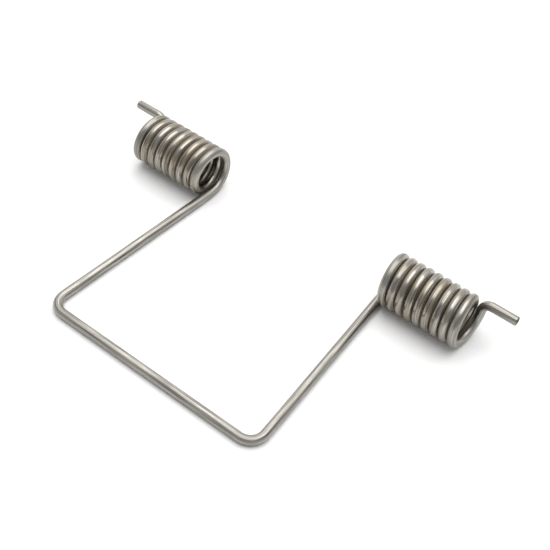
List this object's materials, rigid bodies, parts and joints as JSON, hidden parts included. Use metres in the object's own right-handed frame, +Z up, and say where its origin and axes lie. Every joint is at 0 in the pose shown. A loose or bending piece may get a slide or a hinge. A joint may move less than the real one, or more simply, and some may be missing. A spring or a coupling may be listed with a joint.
{
  "type": "double torsion spring",
  "caption": "Double torsion spring bent from one round wire: a base bar with two arms, a close-wound coil on each arm and a short straight leg at each end.",
  "frame": {"origin": "under the middle of the box around the spring, on the surface that it lies on", "axes": "+X along the shared axis of the coils, towards the right coil; +Y from the base bar towards the coils; +Z up from the surface"},
  "size_m": [0.0794, 0.0432, 0.0093],
  "materials": {
    "spring_steel": "drawn stainless spring wire, bright satin, with fine drawing lines along the wire"
  },
  "bodies": {
    "root": {"double_torsion_spring": "spring_steel"}
  },
  "joints": []
}
